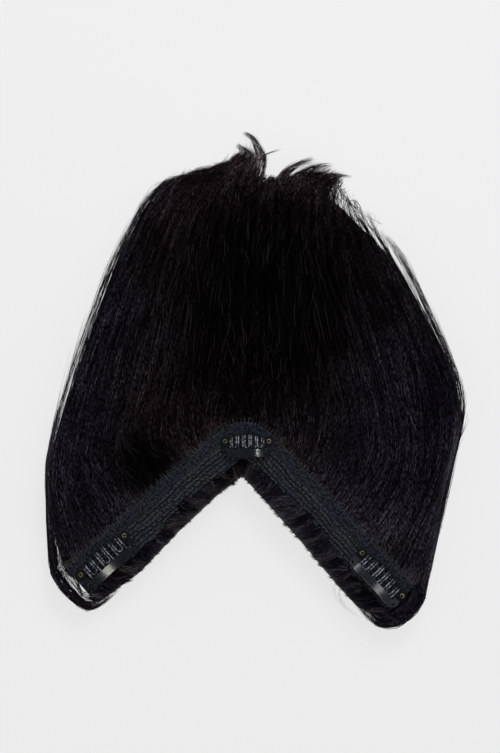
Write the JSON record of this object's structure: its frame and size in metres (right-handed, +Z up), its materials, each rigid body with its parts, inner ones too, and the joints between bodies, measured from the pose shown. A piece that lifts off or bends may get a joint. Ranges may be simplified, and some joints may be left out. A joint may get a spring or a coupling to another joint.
{
  "type": "clip-in hair extension",
  "caption": "Short clip-in hair extension: black straight hair fanning from an elastic band bent into a V, with snap clips on its scalp side.",
  "frame": {"origin": "on the table, under the middle of the box round the whole piece, which lies with its clips up", "axes": "+Y the way the hair falls away from the band, +X to the right seen from above, +Z up"},
  "size_m": [0.204, 0.242, 0.0202],
  "materials": {
    "hair": "straight black hair, silky",
    "band": "knitted elastic, navy black, matt",
    "clip_steel": "gloss black lacquer",
    "eyelet_brass": "dull brass"
  },
  "bodies": {
    "hairpiece": {"hair_fall": "hair", "elastic_band": "band", "left_clip_comb": "clip_steel", "left_clip_left_eyelet": "eyelet_brass", "left_clip_right_eyelet": "eyelet_brass", "centre_clip_comb": "clip_steel", "centre_clip_left_eyelet": "eyelet_brass", "centre_clip_right_eyelet": "eyelet_brass", "right_clip_comb": "clip_steel", "right_clip_left_eyelet": "eyelet_brass", "right_clip_right_eyelet": "eyelet_brass"},
    "left_bow": {"left_clip_bow": "clip_steel"},
    "centre_bow": {"centre_clip_bow": "clip_steel"},
    "right_bow": {"right_clip_bow": "clip_steel"}
  },
  "joints": [
    {"name": "left_clip_snap", "type": "hinge", "parent": "hairpiece", "child": "left_bow", "pos_m": [-0.07093, -0.08628, 0.01545], "axis": [-0.7431, -0.6691, 0], "range_deg": [0, 35]},
    {"name": "centre_clip_snap", "type": "hinge", "parent": "hairpiece", "child": "centre_bow", "pos_m": [-0.0032, -0.03207, 0.01545], "axis": [-1, 0, 0], "range_deg": [0, 35]},
    {"name": "right_clip_snap", "type": "hinge", "parent": "hairpiece", "child": "right_bow", "pos_m": [0.0598, -0.09536, 0.01545], "axis": [-0.682, 0.7314, 0], "range_deg": [-25, 10]}
  ]
}
